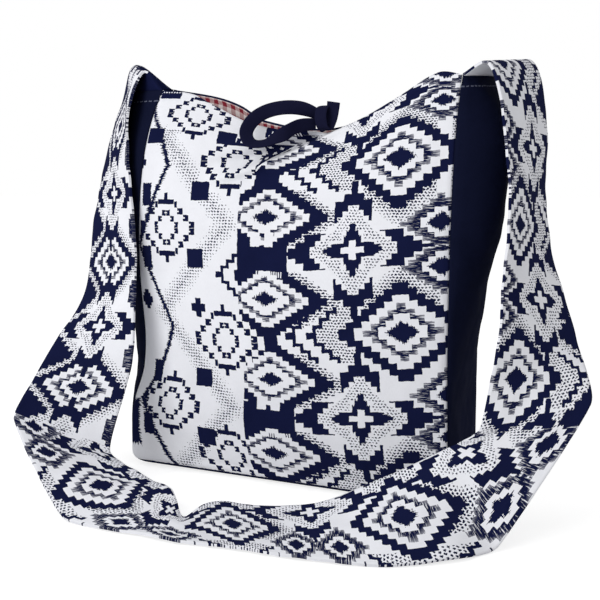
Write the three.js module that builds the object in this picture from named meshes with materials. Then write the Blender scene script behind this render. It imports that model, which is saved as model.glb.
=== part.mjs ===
// Soft crossbody bag standing on its base, in millimetres, +Z up.
// The origin is the middle of the base on the floor, the printed front faces -Y.
import * as THREE from 'three';

// Sizes of the bag
const BAG_WIDTH = 334;
const BAG_DEPTH = 100;
const BAG_HEIGHT = 375;
const BACK_RISE = 8;
const BASE_ROUND = 14;

// Cloth thicknesses and the clearance kept wherever two pieces are sewn or lie together
const CLOTH_THICK = 1.6;
const LINING_THICK = 0.8;
const STRAP_THICK = 2.2;
const TIE_THICK = 1.6;
const SEAM_CLEARANCE = 0.3;
const LINING_DROP = 4;

// Widths of the bands
const STRAP_WIDTH = 90;
const TIE_WIDTH = 13;
const TIE_GATHER = 0.25;
const FOLD_SHARE = 0.06;

// How the filled bag swells
const FRONT_SWELL = 24;
const BACK_SWELL = 20;
const GUSSET_SWELL = 34;

// The strap draws the gussets out below their tops: share more left and right, height share and reach
const FLARE_MORE = 0.45;
const RIGHT_FLARE = 0.2;
const FLARE_HEIGHT = 0.93;
const FLARE_REACH = 0.15;

// How the top corners lean in from the straight side, a minus leans outward
const LEFT_FRONT_LEAN = 30;
const LEFT_BACK_LEAN = -12;
const RIGHT_FRONT_LEAN = -6;
const RIGHT_BACK_LEAN = -12;
const LEFT_WAIST = 11;
const RIGHT_WAIST = 2;
const TOP_DRAW_IN = 4;

// The left front seam is dented above the base; the dent fades slowly upward and soon downward
const DENT_DEPTH = 10;
const DENT_HEIGHT = 105;
const DENT_ABOVE = 75;
const DENT_BELOW = 32;

// The ties draw the front and the back together at the middle of the mouth
const PINCH_SHARE = 0.565;
const FRONT_PULL = 20;
const FRONT_REACH = 120;
const BACK_PULL = 40;
const BACK_REACH = 52;
const CREASE_PULL = 16;
const CREASE_REACH = 16;
const CREASE_SLANT = 640;

// Finish of the mesh
const ROUND_ROWS = 3;
const WALL_ROWS = 12;
const HALF_COLUMNS = 11;
const GUSSET_COLUMNS = 6;
const STRAP_PITCH = 17;
const STRAP_COLUMNS = 4;
const TIE_STEPS = 40;

const HALF_WIDTH = BAG_WIDTH / 2;
const HALF_DEPTH = BAG_DEPTH / 2;
const BACK_HEIGHT = BAG_HEIGHT + BACK_RISE;
const LINING_NEAR = CLOTH_THICK + SEAM_CLEARANCE;
const LINING_FAR = LINING_NEAR + LINING_THICK;

// Drop of the top edges below their corners, as share across and drop
const FRONT_DROP = [[0, 0], [0.12, 5], [0.2, 15], [0.36, 35], [PINCH_SHARE, 43], [0.68, 35],
  [0.81, 15], [0.92, -3], [1, 0]];
const BACK_DROP = [[0, -3], [0.15, 6], [0.3, 27], [PINCH_SHARE, 46], [0.7, 34], [0.85, 13], [1, 0]];

const navyPrint = { color: 0x8f93ad, roughness: 0.85, metalness: 0 };
const navyCloth = { color: 0x161a38, roughness: 0.85, metalness: 0 };
const gingham = { color: 0xb96a70, roughness: 0.85, metalness: 0 };

const mix = (from, to, share) => from + (to - from) * share;
const fade = (low, high, value) => THREE.MathUtils.smoothstep(value, low, high);
const hump = (distance, reach) => Math.exp(-((distance / reach) ** 2));

// A smooth height read from a short list of points
function readCurve(points, share) {
  const last = points.length - 1;
  let k = 0;
  while (k < last - 1 && share > points[k + 1][0]) k += 1;
  const [x0, y0] = points[k];
  const [x1, y1] = points[k + 1];
  const slopeAt = (i) => {
    const before = points[Math.max(i - 1, 0)];
    const after = points[Math.min(i + 1, last)];
    return (after[1] - before[1]) / (after[0] - before[0]);
  };
  const t = (share - x0) / (x1 - x0);
  const span = x1 - x0;
  const rise = t * t * (3 - 2 * t);
  return y0 + (y1 - y0) * rise + span * t * (1 - t) * ((1 - t) * slopeAt(k) - t * slopeAt(k + 1));
}

// Where a side seam stands at a height: side is -1 left or +1 right
function seamX(side, lean, waist, z) {
  const share = z / BAG_HEIGHT;
  return side * (HALF_WIDTH - waist * fade(0.1, 0.4, share) - lean * share ** 7);
}

// How far the dent pushes the left front seam in
const dentAt = (z) => DENT_DEPTH * hump(z - DENT_HEIGHT, z > DENT_HEIGHT ? DENT_ABOVE : DENT_BELOW);

const seamDepth = (z) => HALF_DEPTH - TOP_DRAW_IN * (z / BAG_HEIGHT) ** 2;

// A row is turned under at the base, then climbs the wall to the top edge
function rowAt(row, top) {
  const turn = Math.min(row / ROUND_ROWS, 1) * Math.PI / 2;
  const share = Math.max(row - ROUND_ROWS, 0) / WALL_ROWS;
  const low = BASE_ROUND * (1 - Math.cos(turn));
  return {
    z: low + (top - BASE_ROUND) * share,
    inset: BASE_ROUND * (1 - Math.sin(turn)),
    share,
  };
}

// How far a panel stands out between its seams, and how that changes from the base to the top
const swellAcross = (across) => 1 - Math.abs(2 * across - 1) ** 2.4;
const wideSwell = (up) => Math.sin(Math.PI * up ** 0.75);
const flare = (up) => hump(up - FLARE_HEIGHT, FLARE_REACH);
const fullSwell = (up) => 1 - Math.abs(Math.min(2 * up ** 1.5 - 1, 0.72)) ** 5 + FLARE_MORE * flare(up);
const highSwell = (up) => Math.sin(Math.PI * up ** 2.4) + RIGHT_FLARE * flare(up);

function frontPoint(across, row) {
  const { z, inset, share } = rowAt(row, BAG_HEIGHT - readCurve(FRONT_DROP, across));
  const left = seamX(-1, LEFT_FRONT_LEAN, LEFT_WAIST, z) + inset + dentAt(z);
  const right = seamX(1, RIGHT_FRONT_LEAN, RIGHT_WAIST, z) - inset;
  const fromPinch = (across - PINCH_SHARE) * (right - left);
  const crease = fromPinch + CREASE_SLANT * (1 - share);
  const out = FRONT_SWELL * swellAcross(across) * wideSwell(share);
  const pull = FRONT_PULL * hump(fromPinch, FRONT_REACH) * Math.max(2.5 * share - 1.5, 0) ** 2
    + CREASE_PULL * hump(crease, CREASE_REACH) * fade(0.84, 1, share);
  return new THREE.Vector3(mix(left, right, across), inset - seamDepth(z) - out + pull, z);
}

function backPoint(across, row) {
  const { z, inset, share } = rowAt(row, BACK_HEIGHT - readCurve(BACK_DROP, across));
  const left = seamX(-1, LEFT_BACK_LEAN, LEFT_WAIST, z) + inset;
  const right = seamX(1, RIGHT_BACK_LEAN, RIGHT_WAIST, z) - inset;
  const fromPinch = (across - PINCH_SHARE) * (right - left);
  const upper = fade(0.5, 1, share);
  const out = BACK_SWELL * swellAcross(across) * wideSwell(share);
  const pull = BACK_PULL * hump(fromPinch, BACK_REACH) * upper;
  return new THREE.Vector3(mix(left, right, across), seamDepth(z) - inset + out - pull, z);
}

// A gusset runs between the front seam and the back seam of its side
function gussetPoint(seamFront, seamBack, side, swellUp) {
  return (across, row) => {
    const front = seamFront(row);
    const back = seamBack(row);
    const { share } = rowAt(row, BAG_HEIGHT);
    const point = new THREE.Vector3().lerpVectors(front, back, across);
    point.x += side * GUSSET_SWELL * swellAcross(across) * swellUp(share);
    return point;
  };
}

const leftPoint = gussetPoint((row) => frontPoint(0, row), (row) => backPoint(0, row), -1, fullSwell);
const rightPoint = gussetPoint((row) => frontPoint(1, row), (row) => backPoint(1, row), 1, highSwell);

function basePoint(across, along) {
  const point = new THREE.Vector3().lerpVectors(frontPoint(across, 0), backPoint(across, 0), along);
  point.z = 0;
  return point;
}

// Outward unit normal of a panel; turn is the sign that makes it point out
function normalOf(pointAt, turn, u, v, stepU, stepV, maxV) {
  const du = pointAt(Math.min(u + stepU, 1), v).sub(pointAt(Math.max(u - stepU, 0), v));
  const dv = pointAt(u, Math.min(v + stepV, maxV)).sub(pointAt(u, Math.max(v - stepV, 0)));
  return du.cross(dv).multiplyScalar(turn).normalize();
}

const topRow = ROUND_ROWS + WALL_ROWS;
const fineAcross = 0.004;
const fineRow = 0.02;
const panels = {
  front: { pointAt: frontPoint, turn: 1 },
  back: { pointAt: backPoint, turn: -1 },
  left: { pointAt: leftPoint, turn: -1 },
  right: { pointAt: rightPoint, turn: 1 },
};
const neighbours = {
  front: [['left', 0], ['right', 0]],
  back: [['left', 1], ['right', 1]],
  left: [['front', 0], ['back', 0]],
  right: [['front', 1], ['back', 1]],
};

const panelNormal = (name, across, row) =>
  normalOf(panels[name].pointAt, panels[name].turn, across, row, fineAcross, fineRow, topRow);

// The inward step for one millimetre of thickness, mitred where two panels meet
function inwardStep(normals) {
  const sum = normals.reduce((total, n) => total.add(n), new THREE.Vector3());
  const reach = sum.dot(normals[0]);
  return sum.multiplyScalar(-1 / reach);
}

// A closed sheet solid between two depths below a grid of points
function sheetSolid(grid, steps, near, far) {
  const columns = grid.length;
  const rows = grid[0].length;
  const positions = [];
  for (const depth of [near, far]) {
    grid.forEach((column, i) => column.forEach((point, j) => {
      positions.push(...point.clone().addScaledVector(steps[i][j], depth).toArray());
    }));
  }
  const at = (layer, i, j) => (layer * columns + i) * rows + j;
  const index = [];
  const quad = (a, b, c, d) => index.push(a, b, c, a, c, d);
  for (let i = 0; i + 1 < columns; i += 1) {
    for (let j = 0; j + 1 < rows; j += 1) {
      quad(at(0, i, j), at(0, i + 1, j), at(0, i + 1, j + 1), at(0, i, j + 1));
      quad(at(1, i, j), at(1, i, j + 1), at(1, i + 1, j + 1), at(1, i + 1, j));
    }
    quad(at(0, i, 0), at(1, i, 0), at(1, i + 1, 0), at(0, i + 1, 0));
    quad(at(0, i, rows - 1), at(0, i + 1, rows - 1), at(1, i + 1, rows - 1), at(1, i, rows - 1));
  }
  for (let j = 0; j + 1 < rows; j += 1) {
    quad(at(0, 0, j), at(0, 0, j + 1), at(1, 0, j + 1), at(1, 0, j));
    quad(at(0, columns - 1, j), at(1, columns - 1, j), at(1, columns - 1, j + 1), at(0, columns - 1, j + 1));
  }
  const geometry = new THREE.BufferGeometry();
  geometry.setAttribute('position', new THREE.Float32BufferAttribute(positions, 3));
  geometry.setIndex(index);
  return geometry;
}

function pieceMesh(name, geometry, finish) {
  geometry.computeVertexNormals();
  const mesh = new THREE.Mesh(geometry, new THREE.MeshStandardMaterial(finish));
  mesh.name = name;
  return mesh;
}

// Columns of the front and back crowd together at the pinch
function pinchColumns() {
  const shares = [];
  for (let k = 0; k <= 2 * HALF_COLUMNS; k += 1) {
    const left = k <= HALF_COLUMNS;
    const run = Math.abs(k / HALF_COLUMNS - 1) ** 1.5;
    shares.push(left ? PINCH_SHARE * (1 - run) : mix(PINCH_SHARE, 1, run));
  }
  return shares;
}

const evenColumns = (count) => Array.from({ length: count + 1 }, (none, k) => k / count);

// Rows of a wall: the lining stops short of the top edge, and the panel has a row at that place too
const liningRows = evenColumns(topRow - 1).map((share) => share * (topRow - 1));
liningRows[0] = SEAM_CLEARANCE / BASE_ROUND;
liningRows.push(topRow - LINING_DROP * WALL_ROWS / BAG_HEIGHT);
const panelRows = [...liningRows, topRow];

// One layer of a wall panel, cut back by half the clearance along each seam
function wallLayer(name, shares, near, far, rows) {
  const { pointAt, turn } = panels[name];
  const low = pointAt(0, ROUND_ROWS);
  const cut = SEAM_CLEARANCE / low.distanceTo(pointAt(1, ROUND_ROWS)) / 2;
  const ordered = turn > 0 ? shares : [...shares].reverse();
  const grid = [];
  const steps = [];
  for (const share of ordered) {
    const across = THREE.MathUtils.clamp(share, cut, 1 - cut);
    grid.push(rows.map((row) => pointAt(across, row)));
    steps.push(rows.map((row) => {
      const normals = [panelNormal(name, across, row)];
      if (share === 0 || share === 1) {
        const [next, edge] = neighbours[name][share];
        normals.push(panelNormal(next, edge, row));
      }
      return inwardStep(normals);
    }));
  }
  return sheetSolid(grid, steps, near, far);
}

function baseLayer(shares, near, far) {
  const up = new THREE.Vector3(0, 0, 1);
  const cutAcross = SEAM_CLEARANCE / BAG_WIDTH;
  const cutAlong = SEAM_CLEARANCE / BAG_DEPTH;
  const grid = [];
  for (const along of evenColumns(GUSSET_COLUMNS)) {
    const line = THREE.MathUtils.clamp(along, cutAlong, 1 - cutAlong);
    grid.push(shares.map((share) => basePoint(THREE.MathUtils.clamp(share, cutAcross, 1 - cutAcross), line)));
  }
  const steps = grid.map((column) => column.map(() => up));
  return sheetSolid(grid, steps, near, far);
}

// Places beside the bag: out from a side, forward of the front seam, up from the floor
const leftOf = (out, fore, up) => new THREE.Vector3(-HALF_WIDTH - out, -HALF_DEPTH - fore, up);
const rightOf = (out, fore, up) => new THREE.Vector3(HALF_WIDTH + out, -HALF_DEPTH - fore, up);
const belowTop = (drop) => BAG_HEIGHT - drop;
const sewnLift = SEAM_CLEARANCE + STRAP_THICK / 2;

// The strap from the left gusset round the front to the right gusset: its near edge and its far edge
function sewnEnd(gusset) {
  const lift = new THREE.Vector3(0, 0, sewnLift);
  const middle = gusset(0, topRow).lerp(gusset(1, topRow), 0.5);
  const bow = gusset(0.5, topRow).sub(middle);
  const along = gusset(1, topRow).sub(middle).setLength(STRAP_WIDTH / 2);
  middle.add(lift);
  return [middle.clone().sub(along), middle.add(along), bow];
}
const sharpFold = (near, far) => [near, far, null, true];
const STRAP_ROUTE = [
  sewnEnd(leftPoint),
  [leftOf(-24, -5, belowTop(-17)), leftOf(42, -82, belowTop(-36))],
  [leftOf(-5, -4, belowTop(14)), leftOf(50, -70, belowTop(5))],
  [leftOf(-2, -2, belowTop(62)), leftOf(66, -58, belowTop(69))],
  [leftOf(-14, 8, belowTop(118)), leftOf(63, -36, belowTop(119))],
  [leftOf(-26, 22, belowTop(192)), leftOf(59, -8, belowTop(200))],
  [leftOf(-31, 42, 114), leftOf(55, 61, 114)],
  sharpFold(leftOf(-25, 70, 31), leftOf(48, 117, 69)),
  sharpFold(leftOf(-113, 97, 17), leftOf(-47, 164, 3)),
  sharpFold(rightOf(-196, 119, 3), rightOf(-176, 166, 3)),
  [rightOf(-186, 92, 4), rightOf(-142, 160, 2.4)],
  [rightOf(-111, 72, 11), rightOf(-73, 154, 2.4)],
  [rightOf(-42, 62, 41), rightOf(-6, 138, 2.4)],
  [rightOf(-14, 54, 56), rightOf(36, 107, 2.4)],
  sharpFold(rightOf(6, 47, 66), rightOf(61, 74, 3)),
  sharpFold(rightOf(38, 43, 87), rightOf(119, 0, 109)),
  [rightOf(45, 25, 158), rightOf(96, -50, 151)],
  [rightOf(47, 10, belowTop(165)), rightOf(73, -76, belowTop(167))],
  [rightOf(48, 2, belowTop(107)), rightOf(60, -87, belowTop(108))],
  [rightOf(40, -4, belowTop(39)), rightOf(58, -92, belowTop(34))],
  [rightOf(24, -5, belowTop(-8)), rightOf(42, -93, belowTop(-19))],
  sewnEnd(rightPoint),
];
const fullWidth = STRAP_ROUTE.map(([near, far, bow, fold]) =>
  [fold ? near : near.clone().sub(far).setLength(STRAP_WIDTH).add(far), far, bow, fold]);

// A sharp fold gives way to two close lines across the band, one on each side of it
const beside = (line, next) => [0, 1].map((edge) => line[edge].clone().lerp(next[edge], FOLD_SHARE));
const strapEdges = fullWidth.flatMap((line, k) =>
  (line[3] ? [beside(line, fullWidth[k - 1]), beside(line, fullWidth[k + 1])] : [line]));

// Places along a band, about one pitch apart, with every given line among them
function bandPlaces(route, pitch) {
  const places = [0];
  for (let k = 0; k + 1 < route.length; k += 1) {
    const reach = Math.max(...[0, 1].map((edge) => route[k][edge].distanceTo(route[k + 1][edge])));
    const count = Math.ceil(reach / pitch);
    for (let i = 1; i <= count; i += 1) places.push((k + i / count) / (route.length - 1));
  }
  return places;
}

// A flat band lofted between two edge curves, bowed where it is sewn to a bowed edge
function bandSolid(route, places, columns, thick) {
  const near = new THREE.CatmullRomCurve3(route.map((pair) => pair[0]), false, 'centripetal');
  const far = new THREE.CatmullRomCurve3(route.map((pair) => pair[1]), false, 'centripetal');
  const bowOf = (pair) => pair[2] ?? new THREE.Vector3();
  const pointAt = (across, along) => {
    const point = new THREE.Vector3().lerpVectors(near.getPoint(along), far.getPoint(along), across);
    const place = along * (route.length - 1);
    const first = Math.min(Math.floor(place), route.length - 2);
    const bow = bowOf(route[first]).clone().lerp(bowOf(route[first + 1]), place - first);
    return point.addScaledVector(bow, swellAcross(across));
  };
  const grid = [];
  const inward = [];
  for (const along of places) {
    const line = evenColumns(columns);
    grid.push(line.map((across) => pointAt(across, along)));
    inward.push(line.map((across) => normalOf(pointAt, 1, across, along, 0.05, 0.002, 1)));
  }
  return sheetSolid(grid, inward, -thick / 2, thick / 2);
}

// The two ties: sewn at the pinch, tied in a half bow whose loop leans to the left
const pinchFront = frontPoint(PINCH_SHARE, topRow);
const pinchBack = backPoint(PINCH_SHARE, topRow);
const sewnRise = SEAM_CLEARANCE + TIE_THICK;
const fromPinch = (x, y, z) => pinchFront.clone().add(new THREE.Vector3(x, y, z));
const fromBack = (x, y, z) => pinchBack.clone().add(new THREE.Vector3(x, y, z));
const KNOT = fromPinch(-2, -5, 10);
const LOOP_CENTRE = fromPinch(-34, -29, 6);
const LOOP_TILT = 0.4;
const LOOP_AXIS = new THREE.Vector3(0.5, -0.85, 0.2);
const fromKnot = (x, y, z) => KNOT.clone().add(new THREE.Vector3(x, y, z));
const FRONT_TIE_ROUTE = [
  fromPinch(0, 1, sewnRise), fromPinch(-2, 0, 7), fromKnot(0, 3, 3), fromPinch(-15, -10, 21),
  fromPinch(-31, -18, 23), fromPinch(-48, -27, 19), fromPinch(-58, -36, 10), fromPinch(-61, -42, -1),
  fromPinch(-55, -45, -10), fromPinch(-43, -43, -11), fromPinch(-30, -34, -4), fromPinch(-19, -21, 5),
  fromKnot(-4, -4, -2),
];
const BACK_TIE_ROUTE = [
  fromBack(0, 0, sewnRise), fromBack(1, -1, 8), fromKnot(3, 12, 11), fromKnot(4, 1, 13.5),
  fromKnot(4, -8, 10.5), fromKnot(4.5, -11.5, 2), fromKnot(6, -9.5, -5.5), fromKnot(9, -6, -6),
  fromKnot(11.5, -4, 0), fromKnot(12.5, -3, 5.5), fromKnot(13, -2.5, 11), fromKnot(14, -3.5, 17),
];

// A tie is gathered narrower inside the knot
function tieSolid(route, acrossAt) {
  const path = new THREE.CatmullRomCurve3(route, false, 'centripetal');
  const pairs = evenColumns(TIE_STEPS).map((along) => {
    const centre = path.getPoint(along);
    const ahead = path.getTangent(along);
    const across = acrossAt(centre, along);
    const gathered = TIE_WIDTH * (1 - TIE_GATHER * hump(centre.distanceTo(KNOT), TIE_WIDTH));
    across.addScaledVector(ahead, -across.dot(ahead)).setLength(gathered / 2);
    return [centre.clone().sub(across), centre.clone().add(across)];
  });
  return bandSolid(pairs, evenColumns(TIE_STEPS), 1, TIE_THICK);
}

const sideways = new THREE.Vector3(1, 0, 0);
const tucked = new THREE.Vector3(-0.35, 0, -0.94);
const loopAcross = (centre, along) => {
  const radial = centre.clone().sub(LOOP_CENTRE).normalize();
  const turned = radial.addScaledVector(LOOP_AXIS, LOOP_TILT).normalize();
  return sideways.clone().lerp(turned, fade(0.1, 0.3, along)).lerp(tucked, fade(0.75, 0.92, along));
};
const wrapAcross = () => sideways.clone();

const strapSolid = bandSolid(strapEdges, bandPlaces(strapEdges, STRAP_PITCH), STRAP_COLUMNS, STRAP_THICK);
const bag = new THREE.Group();
bag.name = 'crossbody_bag';
const wide = pinchColumns();
const narrow = evenColumns(GUSSET_COLUMNS);
bag.add(pieceMesh('front_panel', wallLayer('front', wide, 0, CLOTH_THICK, panelRows), navyPrint));
bag.add(pieceMesh('back_panel', wallLayer('back', wide, 0, CLOTH_THICK, panelRows), navyPrint));
bag.add(pieceMesh('left_gusset', wallLayer('left', narrow, 0, CLOTH_THICK, panelRows), navyCloth));
bag.add(pieceMesh('right_gusset', wallLayer('right', narrow, 0, CLOTH_THICK, panelRows), navyCloth));
bag.add(pieceMesh('base_panel', baseLayer(wide, 0, CLOTH_THICK), navyCloth));
bag.add(pieceMesh('front_lining', wallLayer('front', wide, LINING_NEAR, LINING_FAR, liningRows), gingham));
bag.add(pieceMesh('back_lining', wallLayer('back', wide, LINING_NEAR, LINING_FAR, liningRows), gingham));
bag.add(pieceMesh('left_lining', wallLayer('left', narrow, LINING_NEAR, LINING_FAR, liningRows), gingham));
bag.add(pieceMesh('right_lining', wallLayer('right', narrow, LINING_NEAR, LINING_FAR, liningRows), gingham));
bag.add(pieceMesh('base_lining', baseLayer(wide, LINING_NEAR, LINING_FAR), gingham));
bag.add(pieceMesh('strap', strapSolid, navyPrint));
bag.add(pieceMesh('front_tie', tieSolid(FRONT_TIE_ROUTE, loopAcross), navyCloth));
bag.add(pieceMesh('back_tie', tieSolid(BACK_TIE_ROUTE, wrapAcross), navyCloth));

export default bag;
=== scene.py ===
# %% [markdown]
# A soft crossbody bag of printed cotton stands on its base, with its wide strap laid round the front.
# The imported solids give every size and place, so the lesson starts by loading them as a fixed frame.

# %% Load the frame
import copy
import math
from functools import partialmethod
import bpy
import numpy as np
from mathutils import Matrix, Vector


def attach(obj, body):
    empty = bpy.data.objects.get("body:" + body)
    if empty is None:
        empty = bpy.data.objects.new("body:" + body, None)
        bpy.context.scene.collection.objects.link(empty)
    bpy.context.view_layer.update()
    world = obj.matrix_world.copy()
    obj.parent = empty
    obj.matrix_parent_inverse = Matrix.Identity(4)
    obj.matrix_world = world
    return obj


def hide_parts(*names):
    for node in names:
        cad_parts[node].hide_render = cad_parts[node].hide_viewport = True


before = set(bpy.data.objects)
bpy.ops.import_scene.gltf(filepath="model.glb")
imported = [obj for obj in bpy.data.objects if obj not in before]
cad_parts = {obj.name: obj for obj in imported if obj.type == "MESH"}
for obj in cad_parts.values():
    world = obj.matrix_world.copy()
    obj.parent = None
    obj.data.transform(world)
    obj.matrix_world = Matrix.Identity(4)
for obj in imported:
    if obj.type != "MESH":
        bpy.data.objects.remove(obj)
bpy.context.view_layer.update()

# %% [markdown]
# The picture was taken from a little right of the front, slightly above the middle of the bag.
# A camera could be fitted by eye, but the side seams and the strap ends give it by measurement.
# It comes first, so that every later piece can be judged from the right place.

# % Camera
def added(name, data):
    thing = bpy.data.objects.new(name, data)
    bpy.context.scene.collection.objects.link(thing)
    return thing


camera_view = bpy.data.cameras.new("camera")
camera_view.sensor_width = 36
camera_view.lens = 55.14
camera = added("camera", camera_view)
camera.location = (0.3785, -0.8087, 0.279)
camera.rotation_euler = (math.radians(83.174), 0, math.radians(25))
bpy.context.scene.camera = camera
print("camera stands at", tuple(camera.location))

# %% [markdown]
# Every cloth piece is a grid of points. A fade and a hump shape soft changes, and normals and quads are
# read from the grid. Blender has normals too, but only after the mesh exists, and they help to make it.

# %% Grid helpers
MM = 0.001
COTTON = 1.6 * MM


def fade(low, high, value):
    t = np.clip((value - low) / (high - low), 0, 1)
    return t * t * (3 - 2 * t)


def hump(distance, reach):
    return np.exp(-((distance / reach) ** 2))


def unit(vectors):
    return vectors / np.maximum(np.linalg.norm(vectors, axis=-1, keepdims=True), 1e-12)


def grid_normals(points, turn):
    across = np.gradient(points, axis=1)
    along = np.gradient(points, axis=0)
    return turn * unit(np.cross(across, along))


def grid_quads(rows, columns, first):
    corner = first + np.arange(rows - 1)[:, None] * columns + np.arange(columns - 1)[None, :]
    return np.stack([corner, corner + 1, corner + columns + 1, corner + columns], -1).reshape(-1, 4)


print("cotton is", COTTON / MM, "mm thick")

# %% [markdown]
# A solidify modifier could give the cloth its thickness, but the corners of a sewn bag need a mitre.
# So one helper turns a grid into a closed sheet, and keeps the flat cloth place of every point in metres.

# %% A closed sheet from a grid
def corner_points(mesh):
    corners = np.empty(len(mesh.loops), int)
    mesh.loops.foreach_get("vertex_index", corners)
    return corners


def finished(name, mesh, flat, smooth):
    mesh.uv_layers.new(name="cloth").data.foreach_set("uv", flat.astype(np.float32).ravel())
    mesh.polygons.foreach_set("use_smooth", smooth)
    mesh.update()
    return added(name, mesh)


def mitred(points, inward, reach):
    """Near both side edges the inner face also moves in from the edge."""
    across = unit(np.gradient(points, axis=1))
    width = np.cumsum(np.linalg.norm(np.diff(points, axis=1), axis=-1), axis=1)
    width = np.concatenate([np.zeros((len(points), 1)), width], axis=1)
    left = hump(width, reach)[..., None]
    right = hump(width[:, -1:] - width, reach)[..., None]
    return inward + across * left - across * right


def closed_sheet(name, points, flat, turn, near, far, mitre=0.0, inner_flat=(0, 0)):
    """points and flat are grids; turn makes across x along point out; near and far are depths."""
    rows, columns = points.shape[:2]
    inward = -grid_normals(points, turn)
    if mitre:
        inward = mitred(points, inward, mitre)
    layers = np.concatenate([(points + inward * depth).reshape(-1, 3) for depth in (near, far)])
    count = rows * columns
    outer = grid_quads(rows, columns, 0)
    inner = grid_quads(rows, columns, count)[:, ::-1]
    order = np.arange(count).reshape(rows, columns)
    rim = np.concatenate([order[0], order[1:, -1], order[-1, -2::-1], order[-2:0:-1, 0]])
    after = np.roll(rim, -1)
    sides = np.stack([rim, rim + count, after + count, after], -1)
    quads = np.concatenate([outer, inner, sides])
    if turn < 0:
        quads = quads[:, ::-1]
    mesh = bpy.data.meshes.new(name)
    mesh.from_pydata(layers.tolist(), [], quads.tolist())
    cloth = np.concatenate([flat.reshape(-1, 2), flat.reshape(-1, 2) + inner_flat])
    corners = corner_points(mesh)
    corners[-4 * len(sides):] %= count  # the rim takes its colour from the outer face
    smooth = np.arange(len(quads)) < len(outer) + len(inner)
    return finished(name, mesh, cloth[corners], smooth)


def place(piece, node):
    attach(piece, "root")
    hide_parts(node)
    print(piece.name, "has", len(piece.data.polygons), "faces")


print("sheets keep their flat place in metres")

# %% [markdown]
# The bag is a shell of four walls round a flat base. Filling swells the walls, the top corners lean,
# and the ties draw the middle of the mouth down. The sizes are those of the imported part.
# Only the back's hem dips up to five millimetres lower behind the loop, where no lining shows.

# %% Sizes and curves
WIDTH, DEPTH, HEIGHT, BACK_RISE = 334 * MM, 100 * MM, 375 * MM, 8 * MM
BASE_ROUND = 14 * MM
PINCH = 0.565  # share of the width where the ties are sewn
FRONT_DROP = [(0, 0), (0.12, 5), (0.2, 15), (0.36, 35), (PINCH, 43), (0.68, 35), (0.81, 15),
              (0.92, -3), (1, 0)]
BACK_DROP = [(0, -3), (0.15, 7), (0.23, 17), (0.31, 33), (PINCH, 46), (0.7, 34), (0.85, 13), (1, 0)]


def read_curve(points, share):
    """Smooth curve through points of share and millimetres, read in metres."""
    x, y = np.array(points, float).T
    last = len(x) - 1
    index = np.arange(last + 1)
    after, before = np.minimum(index + 1, last), np.maximum(index - 1, 0)
    slope = (y[after] - y[before]) / (x[after] - x[before])
    k = np.clip(np.searchsorted(x, share, side="left") - 1, 0, last - 1)
    span = x[k + 1] - x[k]
    t = (share - x[k]) / span
    bend = span * t * (1 - t) * ((1 - t) * slope[k] - t * slope[k + 1])
    return MM * (y[k] + (y[k + 1] - y[k]) * t * t * (3 - 2 * t) + bend)


def seam_x(side, lean, waist, z):
    """Side seam that goes in by its waist above the base and by its lean at the top."""
    share = z / HEIGHT
    return side * (WIDTH / 2 - waist * fade(0.1, 0.4, share) - lean * np.clip(share, 0, 2) ** 7)


def seam_depth(z):
    return DEPTH / 2 - 4 * MM * (z / HEIGHT) ** 2


def swell_across(across):
    return 1 - np.abs(2 * across - 1) ** 2.4


print("the mouth dips", read_curve(FRONT_DROP, np.array([PINCH])) / MM, "mm at the ties")

# %% [markdown]
# Flat plates would never look like filled cloth, so every wall is a formula of its share across and up.
# The front also has a dent in its left seam and a crease that runs down from the knot.

# %% Front and back walls
LEFT_WAIST, RIGHT_WAIST = 11 * MM, 2 * MM
LEFT_LEAN, RIGHT_LEAN, BACK_LEAN = 30 * MM, -6 * MM, -12 * MM
FRONT_SWELL, BACK_SWELL = 24 * MM, 20 * MM
DENT_DEPTH, DENT_HEIGHT, DENT_ABOVE, DENT_BELOW = 10 * MM, 105 * MM, 75 * MM, 32 * MM
FRONT_PULL, BACK_PULL, CREASE = 20 * MM, 40 * MM, 16 * MM
CREASE_RUN = 640 * MM  # sideways way of the crease over a whole wall


def climb(round_rows, wall_rows):
    """Turn under at the base and share of the wall, for every row from the base to the top."""
    under = np.linspace(0, np.pi / 2, round_rows, endpoint=False)
    turn = np.concatenate([under, np.full(wall_rows + 1, np.pi / 2)])
    share = np.concatenate([np.zeros(round_rows), np.linspace(0, 1, wall_rows + 1)])
    return turn[:, None], share[:, None]


def wall_row(turn, share, top):
    z = BASE_ROUND * (1 - np.cos(turn)) + (top - BASE_ROUND) * share
    return z, BASE_ROUND * (1 - np.sin(turn))


def front_wall(across, turn, share):
    z, inset = wall_row(turn, share, HEIGHT - read_curve(FRONT_DROP, across))
    dent = DENT_DEPTH * hump(z - DENT_HEIGHT, np.where(z > DENT_HEIGHT, DENT_ABOVE, DENT_BELOW))
    left = seam_x(-1, LEFT_LEAN, LEFT_WAIST, z) + inset + dent
    right = seam_x(1, RIGHT_LEAN, RIGHT_WAIST, z) - inset
    run = (across - PINCH) * (right - left)
    out = FRONT_SWELL * swell_across(across) * np.sin(np.pi * share ** 0.75)
    pull = FRONT_PULL * hump(run, 120 * MM) * np.maximum(2.5 * share - 1.5, 0) ** 2
    pull = pull + CREASE * hump(run + CREASE_RUN * (1 - share), 16 * MM) * fade(0.84, 1, share)
    return np.stack([left + (right - left) * across, inset - seam_depth(z) - out + pull, z], -1)


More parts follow.
